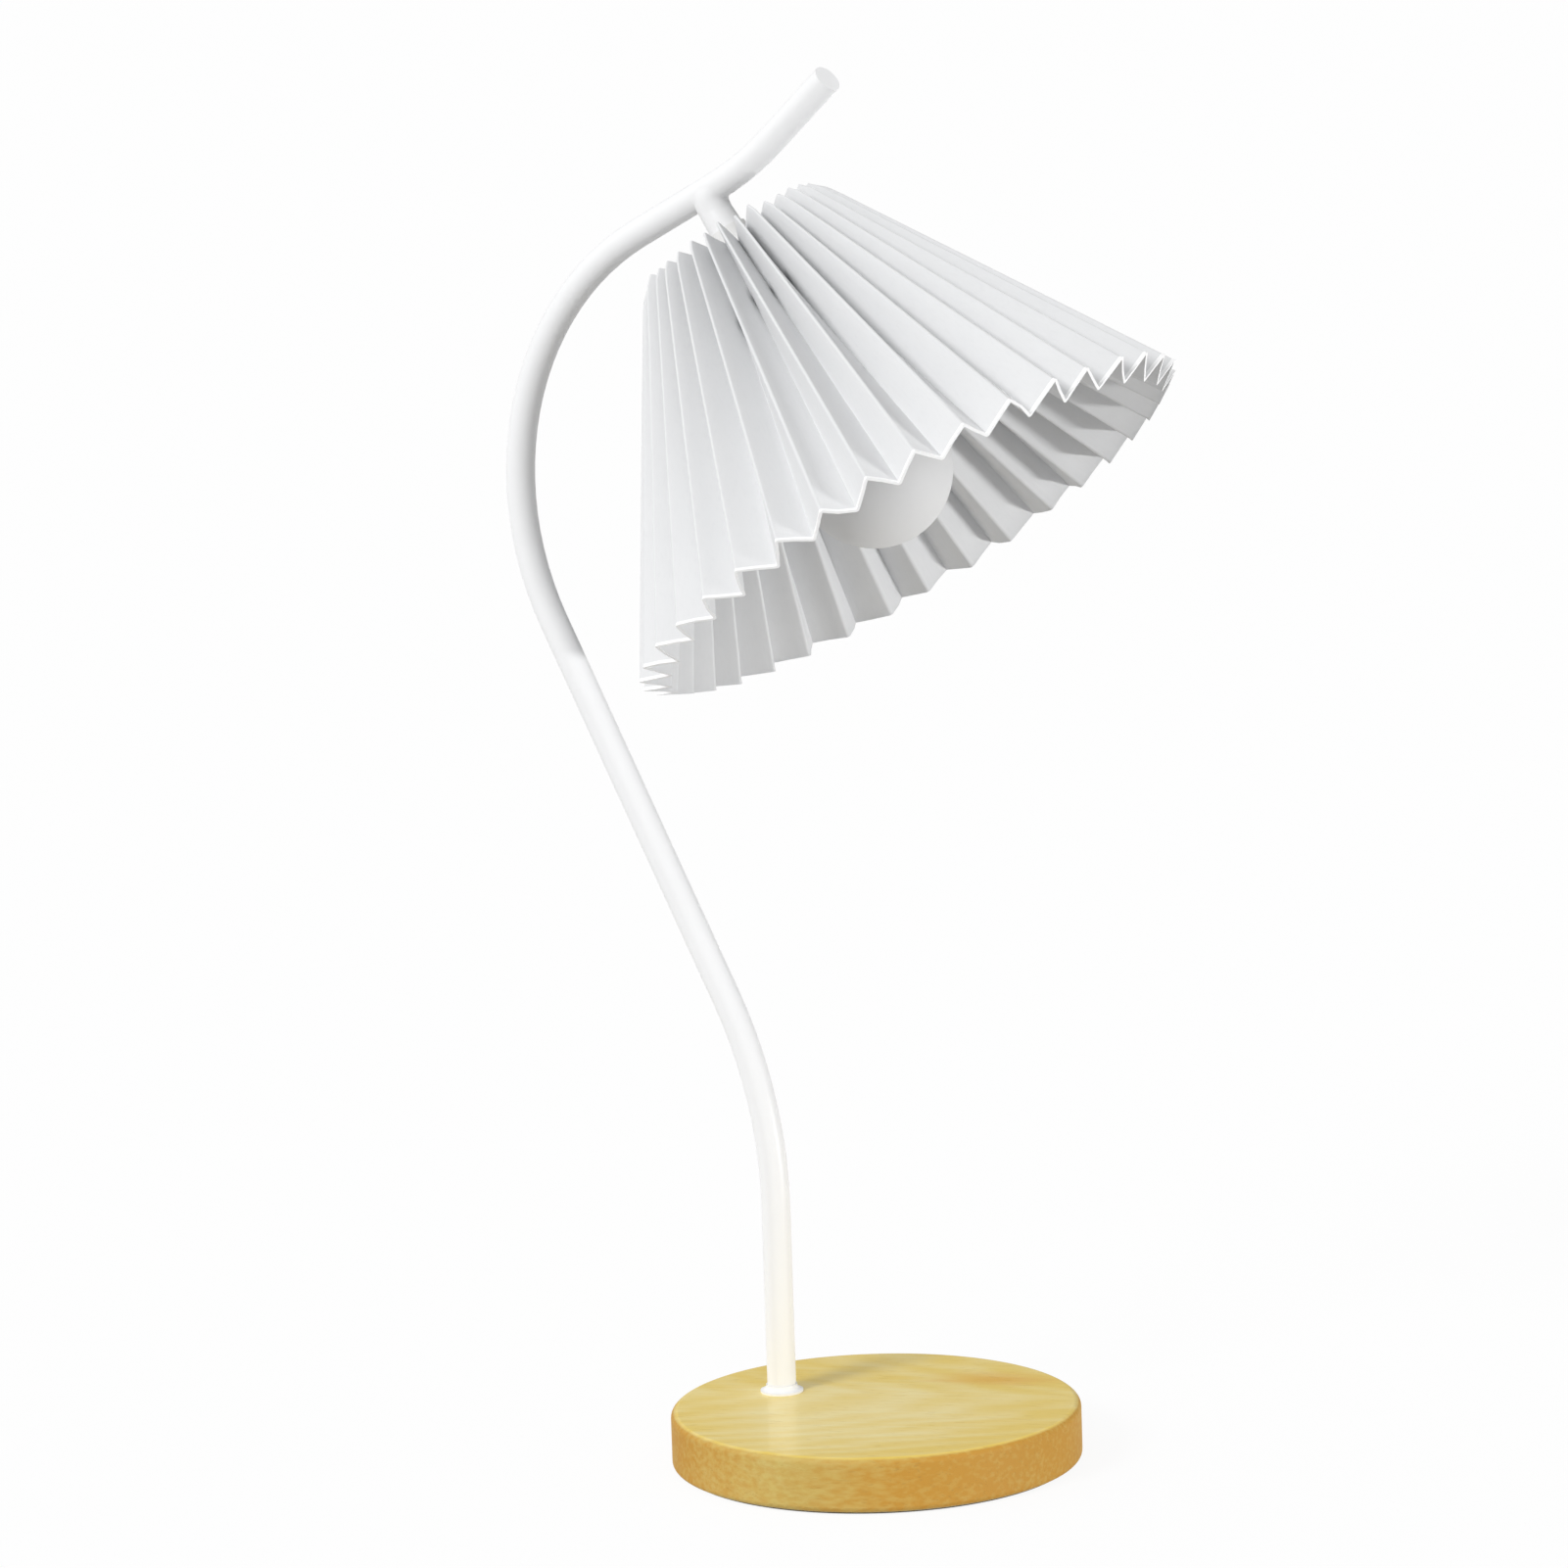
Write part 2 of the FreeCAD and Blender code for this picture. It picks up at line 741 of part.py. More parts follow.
def terminal_block():
    """Terminal block on the cavity's ceiling, with a mouth for each lead and two screw wells."""
    corner = Vector(terminal_start, -terminal_width / 2, terminal_bottom)
    block = Part.makeBox(terminal_length, terminal_width, cavity_top - terminal_bottom, corner)
    lead_mouth = Part.makeCylinder(
        lead_radius + slip_fit, terminal_mouth_depth, Vector(terminal_start, 0, lead_height), X_AXIS)
    cord_mouth = Part.makeCylinder(
        bush_bore / 2, terminal_mouth_depth,
        Vector(terminal_start + terminal_length - terminal_mouth_depth, 0, bush_height), X_AXIS)
    return block.cut([lead_mouth, cord_mouth] + terminal_wells(slip_fit))


def terminal_wells(gap):
    """Bars in the block's underside: the screws, or their wells."""
    middle = terminal_start + terminal_length / 2
    wells = []
    for side in (-1, 1):
        well = rod(terminal_screw_diameter / 2 + gap, terminal_bottom, terminal_bottom + terminal_screw_depth)
        well.translate(Vector(middle, side * terminal_screw_pitch / 2, 0))
        wells.append(well)
    return wells


def terminal_screws():
    """Clamping screws of the terminal block."""
    return Part.makeCompound(terminal_wells(0.0))


def bush_envelope(gap):
    """Outside of the cord bush: a flange let into the rim and a sleeve through the wall."""
    length = bush_proud + base_wall + bush_sleeve_reach
    sleeve = Part.makeCylinder(bush_radius + gap, length, bush_mouth, X_AXIS)
    flange = Part.makeCylinder(bush_radius + bush_flange + gap, bush_flange_thickness, bush_mouth, X_AXIS)
    return sleeve.fuse(flange)


def cord_bush():
    """Flanged bush for the mains lead at the back of the base."""
    return bush_envelope(0.0).cut(Part.makeCylinder(bush_bore / 2, base_radius, bush_mouth, X_AXIS))


PIECES = [
    base_disc, base_pad, ballast_plate, ballast_screws,
    stem_tube, tip_plug, stem_collar, stem_washer, stem_nut, branch_stub,
    holder_nipple, holder_cap, holder_lock_screw, holder_body, holder_insert, screw_shell, centre_contact,
    bulb_globe, bulb_housing, bulb_board, bulb_cap, bulb_insulator, bulb_contact,
    shade_pleats, shade_frame, shade_ring,
    stem_lead, terminal_block, terminal_screws, cord_bush,
]

os.makedirs("parts", exist_ok=True)
for piece in PIECES:
    shape = piece()
    shape.exportStep("parts/%s.step" % piece.__name__)
    print(piece.__name__, len(shape.Solids), "solids", shape.isValid(), round(shape.Volume, 1))
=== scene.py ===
"""Looks of the pleated table lamp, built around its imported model, in metres."""
import json
import math

import bpy
import numpy as np
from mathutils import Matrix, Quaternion, Vector


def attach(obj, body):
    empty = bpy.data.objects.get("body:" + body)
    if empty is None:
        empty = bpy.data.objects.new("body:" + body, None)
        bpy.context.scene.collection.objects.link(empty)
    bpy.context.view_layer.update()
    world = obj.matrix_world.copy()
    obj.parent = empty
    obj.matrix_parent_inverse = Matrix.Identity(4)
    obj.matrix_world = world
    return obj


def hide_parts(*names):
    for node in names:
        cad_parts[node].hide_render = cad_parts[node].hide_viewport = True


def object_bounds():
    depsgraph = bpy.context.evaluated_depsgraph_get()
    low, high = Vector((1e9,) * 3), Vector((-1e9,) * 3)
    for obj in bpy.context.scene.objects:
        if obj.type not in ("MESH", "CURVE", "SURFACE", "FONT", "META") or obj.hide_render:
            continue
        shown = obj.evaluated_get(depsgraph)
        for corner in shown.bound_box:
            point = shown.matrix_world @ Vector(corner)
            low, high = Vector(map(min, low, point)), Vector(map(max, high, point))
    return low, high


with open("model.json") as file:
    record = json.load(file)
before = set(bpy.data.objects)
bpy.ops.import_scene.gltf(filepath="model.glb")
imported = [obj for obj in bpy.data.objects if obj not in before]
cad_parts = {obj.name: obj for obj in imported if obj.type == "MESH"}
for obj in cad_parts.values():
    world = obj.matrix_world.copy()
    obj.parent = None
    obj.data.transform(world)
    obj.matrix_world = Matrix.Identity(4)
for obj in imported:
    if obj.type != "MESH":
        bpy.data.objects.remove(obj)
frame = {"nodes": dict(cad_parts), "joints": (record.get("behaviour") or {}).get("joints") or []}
cad_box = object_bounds()

# Camera: the photograph's viewing angle, through a long lens
AIM_POINT = (-0.02157, -0.01487, 0.253)
VIEW_DISTANCE = 3.321
VIEW_AZIMUTH = 34.59
VIEW_ELEVATION = 11.16
VIEW_ROLL = -1.86
LENS_MM = 211.55
SENSOR_MM = 36.0

# Studio: a pale floor, a soft key lamp in front on the left, a low lamp on the right and a pale room
FLOOR_HALF = 160.0
FLOOR_SEEN = (0.96, 0.96, 0.96)
FLOOR_BOUNCE = (0.59, 0.586, 0.582)
FLOOR_WHITENESS = 0.92
VIEW_REACH = 4 * FLOOR_HALF
KEY_STRENGTH = 1.55
KEY_SOFTNESS = 18.0
KEY_HEADING = 46.0
KEY_HEIGHT = 32.0
LOW_LAMP_PLACE = (1.96, 0.37, 0.06)
LOW_LAMP_AIM = (0.0, 0.0, 0.40)
LOW_LAMP_SIZE = (0.46, 0.11)
LOW_LAMP_POWER = 21.0
ROOM_LOW = (0.30, 0.302, 0.304)
ROOM_HIGH = (0.84, 0.843, 0.846)
WINDOW_HEADING = 85.0
WINDOW_HEIGHT = 45.0
WINDOW_FADE = (-0.3, 0.9)

# Pleated shade: one strip in knife folds round a cone, in the hanger's own frame
PLEATS = 36
FIRST_RIDGE = 8.5
TOP_RIDGE_RADIUS = 0.0373
TOP_RIDGE_STATION = 0.0195
RIM_RIDGE_RADIUS = 0.1113
RIM_RIDGE_STATION = 0.14303
PANEL_WIDTH = 0.01403
SHEET_THICKNESS = 0.0007
EDGE_THICKNESS = 0.0011
EDGE_SHARE = 0.009
EDGE_ROWS = 2
FOLD_ROWS = 34
FOLD_REACH_TOP = 0.0012
FOLD_REACH_RIM = 0.0007
FOLD_FULLNESS = 0.6
FOLD_STEPS = (0.0, 0.25, 0.5, 0.75, 1.0)
PANEL_STEPS = (0.25, 0.5, 0.75)
SHOULDER_DEPTH = 0.0014
SHOULDER_LENGTH = 0.007
STRIP_WIDTH = math.hypot(RIM_RIDGE_RADIUS - TOP_RIDGE_RADIUS, RIM_RIDGE_STATION - TOP_RIDGE_STATION)

# How uneven the folds are: spreads in degrees or metres, and how fast they fade from their end of the strip
FOLD_SEED = 11
TURN_SPREAD_TOP = 0.42
TURN_FADE_TOP = 2
TURN_SPREAD_RIM = 0.30
DEPTH_SPREAD = 0.00025
TRIM_SPREAD_TOP = 0.0006
TRIM_FADE_TOP = 6
TRIM_SPREAD_RIM = 0.00025
TRIM_FADE_RIM = 4
BOW_SPREAD = 0.00035
BOW_AT_TOP = 0.4

# Weld between the stem and its stub, in the hanger's own frame
STEM_HEADING = 61.6
TUBE_RADIUS = 0.0053
STUB_RADIUS = 0.0058
STUB_TAPER = 0.045
STUB_STATION = 0.00265
WELD_COLUMNS = 64
WELD_ROWS = 14
WELD_LOW = 0.0082
WELD_LOW_SWAY = 0.0020
WELD_ON_STEM = 0.0093
WELD_ON_STEM_SWAY = 0.0022
WELD_WRAP = 110.0
WELD_RISE = 0.0041
WELD_RUN = 0.0029
WELD_SIDE_EXTRA = 0.0015
WELD_SINK = 0.00005
WELD_CORE = 0.85

# Faces of the sheet and of the weld that meet at more than this angle keep a sharp edge
SHARP_ANGLE = 60.0

# Wood of the base: a flat-sawn disc, with its grain across the picture and a heading of its own at the side
GRAIN_HEADING = 24.0
SIDE_GRAIN_HEADING = 9.0
PITH_ASIDE = 0.018
PITH_BELOW = 0.085
PITH_TILT = 0.16
RING_SPACING = 0.0052
WANDER_STRETCH = (7.0, 24.0, 24.0)
WANDER_REACH = 0.020
STREAK_STRETCH = (16.0, 420.0, 420.0)
PORE_STRETCH = (170.0, 1500.0, 1500.0)
PORE_FADE = (0.62, 0.74)
FLECK_STRETCH = (190.0, 560.0, 560.0)
FLECK_FADE = (0.36, 0.64)
CLOUD_STRETCH = (14.0, 45.0, 45.0)
CLOUD_FADE = (0.35, 0.65)
SIDE_FADE = (0.70, 0.98)
END_GRAIN_FADE = (0.08, 0.62)
HEART_PLACE = (-0.004, -0.012)
HEART_FADE = (0.034, 0.062)

# Amber streak in the wood: its middle and half lengths along and across the grain, and its frayed outline
EMBER_PLACE = (0.038, 0.038)
EMBER_HALF = (0.032, 0.0125)
EMBER_CORE = 1.1
EMBER_FRAY = 0.9
EMBER_WANDER = 25.0
EMBER_FADE = (-0.2, 0.7)

# How much each part of the wood's figure counts in its colour
RING_SHARE = 0.32
STREAK_SHARE = 0.40
CLOUD_SHARE = 0.40
OUTER_SHARE = 0.42
PALE_SHARE = 0.19
EMBER_SHARE = 0.9
SIDE_SHARE = 0.85
END_GRAIN_SHARE = 0.64
FLECK_SHARE = 0.42
SIDE_CLOUD_SHARE = 0.24
SIDE_PALE_SHARE = 0.08
PORE_SHARE = 0.22
END_PORE_SHARE = 0.3

# Lacquer and surface of the wood
WOOD_ROUGHNESS = 0.36
STREAK_ROUGHNESS = 0.10
PORE_ROUGHNESS = 0.15
SIDE_ROUGHNESS = 0.20
LACQUER_WEIGHT = 0.4
STREAK_HEIGHT = 0.5
WOOD_BUMP = 0.12

# White paint of the stem and the shade's frame
PAINT_TONE = 22.0
PAINT_PEEL = 1100.0
PAINT_ROUGHNESS = (0.34, 0.44)
PAINT_BUMP = 0.10

# Paper of the shade, and its cut edge, whose finish also paints a highlight along the outside of the rim
SHEET_FIBRE = (900.0, 260.0, 1.0)
SHEET_FIBRE_FADE = (0.5, 0.8)
SHEET_FIBRE_SHARE = 0.35
SHEET_CLOUD = 38.0
# Share of painted shade that darkens the hollow of each fold
SHEET_FOLD_SHADE_SHARE = 0.25
SHEET_ROUGHNESS = (0.62, 0.77)
SHEET_BUMP = 0.08
EDGE_FIBRE = 2400.0
EDGE_ROUGHNESS = (0.75, 0.95)

# Globe of the bulb, and the moulded pieces
GLOBE_MILK = 30.0
GLOBE_ROUGHNESS = (0.52, 0.60)
PLASTIC_CLOUD = 60.0
PLASTIC_CLOUD_SHADES = (0.95, 1.03)
PLASTIC_CLOUD_DULLING = 0.10
PLASTIC_TOOL = 2600.0

# Metal pieces, with tool marks and dull patches
METAL_MARK = (700.0, 700.0, 700.0)
METAL_MARK_DULLING = 0.10
METAL_PATCH = 140.0
METAL_PATCH_FADE = (0.45, 0.75)
METAL_PATCH_SHADE = 0.72
METAL_PATCH_DULLING = 0.18
METAL_BUMP = 0.10

# Felt under the base
FELT_FIBRE = 900.0
FELT_FIBRE_SHARE = 0.6
FELT_MATTING = 70.0
FELT_ROUGHNESS = (0.85, 0.97)
FELT_BUMP = 0.6

# Height of the relief that a bump stands for
FINE_RELIEF = 0.0001
PLAIN_RELIEF = 0.0002
FELT_RELIEF = 0.0006


class Wire:
    """A socket in a finish's node tree. Arithmetic on wires adds Math nodes."""

    def __init__(self, tree, socket=None):
        self.tree = tree
        self.socket = socket

    def add(self, kind, settings=None, sockets=None, output=0):
        """Adds a node: first its settings, then the values or wires of its sockets."""
        node = self.tree.nodes.new("ShaderNode" + kind)
        for name, value in (settings or {}).items():
            setattr(node, name, value)
        for name, value in (sockets or {}).items():
            if isinstance(value, Wire):
                self.tree.links.new(value.socket, node.inputs[name])
            else:
                node.inputs[name].default_value = value
        return Wire(self.tree, node.outputs[output])

    def other(self, output):
        """Another output of the node that this wire leaves."""
        return Wire(self.tree, self.socket.node.outputs[output])

    def to(self, node, name):
        """Links this wire to a node's socket."""
        self.tree.links.new(self.socket, node.inputs[name])

    def math(self, operation, *values):
        """A Math node on the given values or wires."""
        return self.add("Math", {"operation": operation}, dict(enumerate(values)))

    def mix(self, share, first, second):
        """The first colour where share is 0, the second where it is 1."""
        return self.add("Mix", {"data_type": "RGBA"}, {0: share, 6: first, 7: second}, 2)

    def noise(self, place, scale, detail=2.0):
        """Noise from 0 to 1, of the given scale."""
        return self.add("TexNoise", None, {"Vector": place, "Scale": scale, "Detail": detail})

    def stretched_noise(self, place, stretch, detail):
        """Noise with a scale of its own along each axis."""
        stretched = self.add("Mapping", None, {"Vector": place, "Scale": stretch})
        return self.noise(stretched, 1.0, detail)

    def between(self, low, high):
        """0 below low, 1 above high and even between them."""
        span = {"Value": self, "From Min": low, "From Max": high}
        return self.add("MapRange", {"clamp": True}, span)

    def spread(self, low, high):
        """Low where this wire is 0, high where it is 1."""
        return low + self * (high - low)

    def reach(self, other):
        """The distance that has this wire and the other as its two legs."""
        return self.math("SQRT", self * self + other * other)

    def bump(self, strength, distance):
        """A surface normal from this height."""
        height = {"Strength": strength, "Distance": distance, "Height": self}
        return self.add("Bump", None, height, "Normal")

    def __add__(self, other):
        return self.math("ADD", self, other)

    def __sub__(self, other):
        return self.math("SUBTRACT", self, other)

    def __rsub__(self, other):
        return self.math("SUBTRACT", other, self)

    def __mul__(self, other):
        return self.math("MULTIPLY", self, other)

    def __truediv__(self, other):
        return self.math("DIVIDE", self, other)

    def __rtruediv__(self, other):
        return self.math("DIVIDE", other, self)

    __radd__ = __add__
    __rmul__ = __mul__


def paint(red, green, blue):
    """A colour with full alpha."""
    return (red, green, blue, 1.0)


def shaded(colour, factor):
    """The same colour, lighter or darker."""
    return paint(*(channel * factor for channel in colour[:3]))


def begin_finish(name, even):
    """A new material with its even values set, a wire to build on and its shader."""
    material = bpy.data.materials.new(name)
    material.use_nodes = True
    shader = material.node_tree.nodes["Principled BSDF"]
    for socket, value in even.items():
        shader.inputs[socket].default_value = value
    return material, Wire(material.node_tree), shader


def lacquered_wood():
    """Pale flat-sawn wood under a glossy lacquer, more orange where the side cuts across the grain."""
    even = {"Coat Roughness": 0.12, "Specular IOR Level": 0.2}
    material, pot, shader = begin_finish("lacquered_wood", even)
    place = pot.add("TexCoord", output="Object")
    turn = (0.0, 0.0, -math.radians(GRAIN_HEADING))
    board = pot.add("Mapping", None, {"Vector": place, "Rotation": turn})
    along = pot.add("SeparateXYZ", None, {"Vector": board})
    aside = along.other("Y")
    height = along.other("Z") + along * PITH_TILT + PITH_BELOW
    drift = (pot.stretched_noise(board, WANDER_STRETCH, 3.0) - 0.5) * WANDER_REACH
    depth = (aside - PITH_ASIDE).reach(height) + drift
    ring = pot.math("SINE", depth * (math.tau / RING_SPACING)) * 0.5 + 0.5
    streak = pot.stretched_noise(board, STREAK_STRETCH, 3.0)
    pore = pot.stretched_noise(board, PORE_STRETCH, 1.0).between(*PORE_FADE)
    fleck = pot.stretched_noise(board, FLECK_STRETCH, 4.0).between(*FLECK_FADE)
    cloud = pot.stretched_noise(board, CLOUD_STRETCH, 3.0).between(*CLOUD_FADE)
    facing = pot.add("SeparateXYZ", None, {"Vector": place.other("Normal")})
    side = 1 - pot.math("ABSOLUTE", facing.other("Z")).between(*SIDE_FADE)
    heading = math.radians(SIDE_GRAIN_HEADING)
    cut_across = pot.math("ABSOLUTE", facing * math.cos(heading) + facing.other("Y") * math.sin(heading))
    end_grain = cut_across.between(*END_GRAIN_FADE)
    ember_along = (along - EMBER_PLACE[0]) / EMBER_HALF[0]
    ember_aside = (aside - EMBER_PLACE[1]) / EMBER_HALF[1]
    ember = EMBER_CORE - ember_along.reach(ember_aside) - streak * EMBER_FRAY + drift * EMBER_WANDER
    ember = ember.between(*EMBER_FADE)
    outer = (along - HEART_PLACE[0]).reach(aside - HEART_PLACE[1]).between(*HEART_FADE)
    pale = paint(0.930, 0.785, 0.355)
    tan = paint(0.850, 0.620, 0.108)
    side_tan = paint(0.58, 0.455, 0.150)
    orange = paint(0.54, 0.280, 0.044)
    amber = paint(0.79, 0.425, 0.010)
    brown = paint(0.42, 0.24, 0.055)
    figure = ring * RING_SHARE + streak * STREAK_SHARE + cloud * CLOUD_SHARE + outer * OUTER_SHARE
    side_figure = end_grain * END_GRAIN_SHARE + fleck * FLECK_SHARE + cloud * SIDE_CLOUD_SHARE
    pores = pore * (PORE_SHARE + side * end_grain * END_PORE_SHARE)
    wood = pot.mix(figure - PALE_SHARE, pale, tan)
    wood = pot.mix(ember * EMBER_SHARE, wood, amber)
    wood = pot.mix(side * SIDE_SHARE, wood, side_tan)
    wood = pot.mix(side * (side_figure - SIDE_PALE_SHARE), wood, orange)
    pot.mix(pores, wood, brown).to(shader, "Base Color")
    roughness = WOOD_ROUGHNESS + streak * STREAK_ROUGHNESS + pore * PORE_ROUGHNESS + side * SIDE_ROUGHNESS
    roughness.to(shader, "Roughness")
    (LACQUER_WEIGHT - side * LACQUER_WEIGHT).to(shader, "Coat Weight")
    (streak * STREAK_HEIGHT - pore).bump(WOOD_BUMP, PLAIN_RELIEF).to(shader, "Normal")
    return material


def satin_paint():
    """White powder coat with a faint orange peel."""
    material, pot, shader = begin_finish("satin_white_paint", {"Specular IOR Level": 0.3})
    place = pot.add("TexCoord", output="Object")
    tone = pot.noise(place, PAINT_TONE)
    peel = pot.noise(place, PAINT_PEEL, 1.0)
    pot.mix(tone, paint(0.862, 0.865, 0.870), paint(0.878, 0.880, 0.884)).to(shader, "Base Color")
    tone.spread(*PAINT_ROUGHNESS).to(shader, "Roughness")
    peel.bump(PAINT_BUMP, PLAIN_RELIEF).to(shader, "Normal")
    return material


def pleat_sheet():
    """White coated paper: faint fibres, and painted shade in the hollow of each fold."""
    material, pot, shader = begin_finish("pleat_sheet", {"Specular IOR Level": 0.25})
    strip = pot.add("UVMap", {"uv_map": "strip"})
    hollow = pot.add("Attribute", {"attribute_name": "hollow"}, None, "Fac")
    fibre = pot.stretched_noise(strip, SHEET_FIBRE, 4.0)
    cloud = pot.noise(strip, SHEET_CLOUD)
    fibre_grey = paint(0.700, 0.705, 0.713)
    fold_shade_grey = paint(0.50, 0.50, 0.51)
    sheet = pot.mix(cloud, paint(0.742, 0.747, 0.754), paint(0.766, 0.770, 0.776))
    sheet = pot.mix(fibre.between(*SHEET_FIBRE_FADE) * SHEET_FIBRE_SHARE, sheet, fibre_grey)
    # Painted shade: the sheet turns greyer in the hollow of each fold
    pot.mix(hollow * SHEET_FOLD_SHADE_SHARE, sheet, fold_shade_grey).to(shader, "Base Color")
    fibre.spread(*SHEET_ROUGHNESS).to(shader, "Roughness")
    fibre.bump(SHEET_BUMP, PLAIN_RELIEF).to(shader, "Normal")
    return material


def cut_edge_and_lip_highlight():
    """The bare cut edge of the sheet, brighter and fibrous; also a painted highlight on the outside next to
    the rim.
    """
    material, pot, shader = begin_finish("cut_edge_and_lip_highlight", {"Specular IOR Level": 0.2})
    strip = pot.add("UVMap", {"uv_map": "strip"})
    fibre = pot.noise(strip, EDGE_FIBRE)
    pot.mix(fibre, paint(0.93, 0.932, 0.935), paint(0.96, 0.96, 0.96)).to(shader, "Base Color")
    fibre.spread(*EDGE_ROUGHNESS).to(shader, "Roughness")
    return material


def opal_globe():
    """The bulb's opal globe, matt and slightly milky."""
    milky = {"Subsurface Weight": 0.15, "Subsurface Radius": (0.004, 0.004, 0.004)}
    material, pot, shader = begin_finish("opal_globe", {"Specular IOR Level": 0.25, **milky})
    place = pot.add("TexCoord", output="Object")
    milk = pot.noise(place, GLOBE_MILK)
    pot.mix(milk, paint(0.685, 0.687, 0.690), paint(0.72, 0.72, 0.72)).to(shader, "Base Color")
    milk.spread(*GLOBE_ROUGHNESS).to(shader, "Roughness")
    return material


def moulded_plastic(name, colour, roughness, grain=0.06):
    """A moulded piece: even colour with faint clouds and a fine tool grain."""
    material, pot, shader = begin_finish(name, {})
    place = pot.add("TexCoord", output="Object")
    cloud = pot.noise(place, PLASTIC_CLOUD)
    tool = pot.noise(place, PLASTIC_TOOL, 1.0)
    darker, lighter = PLASTIC_CLOUD_SHADES
    pot.mix(cloud, shaded(colour, darker), shaded(colour, lighter)).to(shader, "Base Color")
    (roughness + cloud * PLASTIC_CLOUD_DULLING).to(shader, "Roughness")
    tool.bump(grain, FINE_RELIEF).to(shader, "Normal")
    return material


def worked_metal(name, colour, roughness, wear):
    """A metal piece with fine tool marks and dull patches."""
    material, pot, shader = begin_finish(name, {"Metallic": 1.0})
    place = pot.add("TexCoord", output="Object")
    mark = pot.stretched_noise(place, METAL_MARK, 3.0)
    patch = pot.noise(place, METAL_PATCH, 3.0).between(*METAL_PATCH_FADE)
    pot.mix(patch * wear, colour, shaded(colour, METAL_PATCH_SHADE)).to(shader, "Base Color")
    (roughness + patch * METAL_PATCH_DULLING + mark * METAL_MARK_DULLING).to(shader, "Roughness")
    mark.bump(METAL_BUMP, FINE_RELIEF).to(shader, "Normal")
    return material


def pressed_felt():
    """Grey felt under the base, matted fibres."""
    material, pot, shader = begin_finish("pressed_felt", {"Sheen Weight": 0.35, "Sheen Roughness": 0.5})
    place = pot.add("TexCoord", output="Object")
    fibre = pot.noise(place, FELT_FIBRE, 5.0)
    matting = pot.noise(place, FELT_MATTING, 3.0)
    dark_felt = paint(0.055, 0.055, 0.058)
    pale_felt = paint(0.14, 0.14, 0.145)
    share = fibre * FELT_FIBRE_SHARE + matting * (1 - FELT_FIBRE_SHARE)
    pot.mix(share, dark_felt, pale_felt).to(shader, "Base Color")
    fibre.spread(*FELT_ROUGHNESS).to(shader, "Roughness")
    fibre.bump(FELT_BUMP, FELT_RELIEF).to(shader, "Normal")
    return material


def dress_nodes():
    """Gives every piece that stays as modelled its own finish."""
    coat = satin_paint()
    moulding = moulded_plastic("holder_moulding", paint(0.82, 0.82, 0.81), 0.28)
    plated = worked_metal("zinc_plate", paint(0.60, 0.61, 0.63), 0.30, 0.5)
    brass = worked_metal("brass", paint(0.78, 0.58, 0.24), 0.24, 0.4)
    nickel = worked_metal("nickel_plate", paint(0.70, 0.69, 0.66), 0.20, 0.3)
    finishes = {
        lacquered_wood(): ["base_disc"],
        pressed_felt(): ["base_pad"],
        worked_metal("mill_steel", paint(0.32, 0.32, 0.33), 0.42, 0.8): ["ballast_plate"],
        plated: ["ballast_screws", "stem_washer", "stem_nut", "terminal_screws", "holder_lock_screw"],
        coat: ["stem_tube", "tip_plug", "stem_collar", "branch_stub", "shade_frame"],
        brass: ["holder_nipple", "screw_shell", "centre_contact"],
        moulding: ["holder_cap", "holder_body", "shade_ring"],
        moulded_plastic("steatite", paint(0.74, 0.70, 0.62), 0.45, grain=0.15): ["holder_insert"],
        opal_globe(): ["bulb_globe"],
        moulded_plastic("bulb_housing", paint(0.80, 0.80, 0.80), 0.35): ["bulb_housing"],
        nickel: ["bulb_cap", "bulb_board"],
        moulded_plastic("black_insulator", paint(0.025, 0.025, 0.03), 0.12, grain=0.02): ["bulb_insulator"],
        worked_metal("solder", paint(0.66, 0.66, 0.65), 0.28, 0.6): ["bulb_contact"],
        moulded_plastic("lead_cover", paint(0.80, 0.80, 0.79), 0.40): ["stem_lead"],
        moulded_plastic("terminal_nylon", paint(0.80, 0.78, 0.70), 0.38): ["terminal_block"],
        moulded_plastic("bush_rubber", paint(0.78, 0.78, 0.77), 0.55, grain=0.12): ["cord_bush"],
    }
    for material, names in finishes.items():
        for name in names:
            frame["nodes"][name].material_slots[0].material = material


def put_in_scene(name, data):
    """A new object of the scene."""
    piece = bpy.data.objects.new(name, data)
    bpy.context.scene.collection.objects.link(piece)
    return piece


def unit(vectors):
    """The same directions at length 1."""
    return vectors / np.linalg.norm(vectors, axis=-1, keepdims=True)


def closed_skin(name, outside, inside):
    """A closed mesh between two grids of points that go round: both walls, then the first and last edge."""
    rows, columns = outside.shape[:2]
    layer = rows * columns
    place = np.arange(layer).reshape(rows, columns)
    beside = np.roll(place, -1, axis=1)
    wall = np.stack([place[:-1], place[1:], beside[1:], beside[:-1]], axis=-1).reshape(-1, 4)
    first_edge = np.stack([place[0], beside[0], beside[0] + layer, place[0] + layer], axis=-1)
    last_edge = np.stack([place[-1], place[-1] + layer, beside[-1] + layer, beside[-1]], axis=-1)
    vertices = np.concatenate([outside.reshape(-1, 3), inside.reshape(-1, 3)])
    quads = np.concatenate([wall, wall[:, ::-1] + layer, first_edge, last_edge])
    mesh = bpy.data.meshes.new(name)
    mesh.from_pydata(vertices.tolist(), [], quads.tolist())
    mesh.polygons.foreach_set("use_smooth", np.ones(len(quads), bool))
    mesh.set_sharp_from_angle(angle=math.radians(SHARP_ANGLE))
    return mesh


def hanger_frame():
    """The shade's own frame: its branch point, then unit vectors across, sideways and along its axis."""
    joint = next(j for j in frame["joints"] if j["name"] == "shade_turn")
    along = np.array(joint["axis"])
    sideways = np.array((0.0, 1.0, 0.0))
    return np.array(joint["pos_m"]), np.cross(sideways, along), sideways, along


